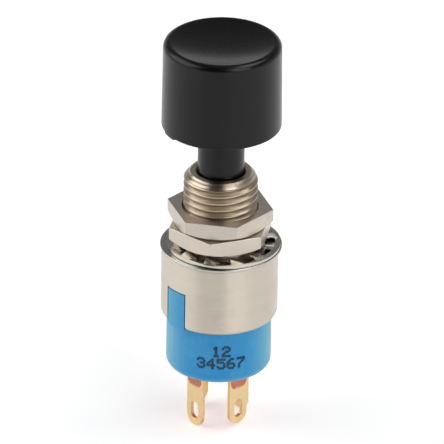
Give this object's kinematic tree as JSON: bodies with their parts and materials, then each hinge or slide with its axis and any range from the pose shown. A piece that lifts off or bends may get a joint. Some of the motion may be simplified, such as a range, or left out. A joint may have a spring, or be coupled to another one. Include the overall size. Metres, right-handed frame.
{
  "type": "mini push button switch",
  "caption": "Miniature momentary push button switch: dished round cap on a long plunger, threaded panel bushing with hexagon nuts and washers, keyed case and solder lugs.",
  "frame": {"origin": "centre of the case's shoulder, where the threaded bushing starts", "axes": "+Z along the plunger, out of the panel towards the cap; -Y through the key slot in front"},
  "size_m": [0.0105, 0.0105, 0.036],
  "materials": {
    "cap_plastic": "charcoal moulded plastic, satin, fine mould grain",
    "plunger_plastic": "charcoal moulded plastic, smooth",
    "seal_rubber": "black nitrile rubber",
    "carrier_plastic": "natural moulded nylon",
    "spring_steel": "drawn spring wire",
    "contact_bronze": "rolled phosphor bronze",
    "contact_silver": "silver alloy rivet",
    "nickel_case": "satin nickel plate over turned brass",
    "polished_washer": "polished nickel plated steel sheet",
    "nickel_nut": "brushed nickel plate",
    "base_plastic": "blue moulded thermoset, semi-gloss",
    "gold_terminal": "gold plated stamped brass",
    "seal_resin": "red sealing resin"
  },
  "bodies": {
    "case": {"housing": "nickel_case", "flat_washer": "polished_washer", "lock_washer": "polished_washer", "lower_nut": "nickel_nut", "upper_nut": "nickel_nut", "base": "base_plastic", "terminal_1": "gold_terminal", "terminal_2": "gold_terminal", "terminal_3": "gold_terminal", "terminal_4": "gold_terminal", "fixed_contact_1": "contact_silver", "fixed_contact_2": "contact_silver", "fixed_contact_3": "contact_silver", "fixed_contact_4": "contact_silver", "epoxy_seal": "seal_resin", "return_spring": "spring_steel"},
    "plunger": {"cap": "cap_plastic", "plunger": "plunger_plastic", "o_ring": "seal_rubber", "contact_carrier": "carrier_plastic", "contact_spring_1": "spring_steel", "contact_spring_2": "spring_steel"},
    "bridges": {"contact_bridge_1": "contact_bronze", "contact_bridge_2": "contact_bronze", "moving_contacts": "contact_silver"}
  },
  "joints": [
    {"name": "press", "type": "slide", "parent": "case", "child": "plunger", "axis": [0, 0, -1], "range_m": [0, 0.0024], "stiffness_N_per_m": 800, "springref_m": -0.0018, "deforming": ["return_spring"]},
    {"name": "bridge_lift", "type": "slide", "parent": "plunger", "child": "bridges", "axis": [0, 0, 1], "range_m": [0, 0.0016], "deforming": ["contact_spring_1", "contact_spring_2"]}
  ],
  "couplings": [
    {"joint": "bridge_lift", "follows": "press", "ratio": 0.6666}
  ]
}
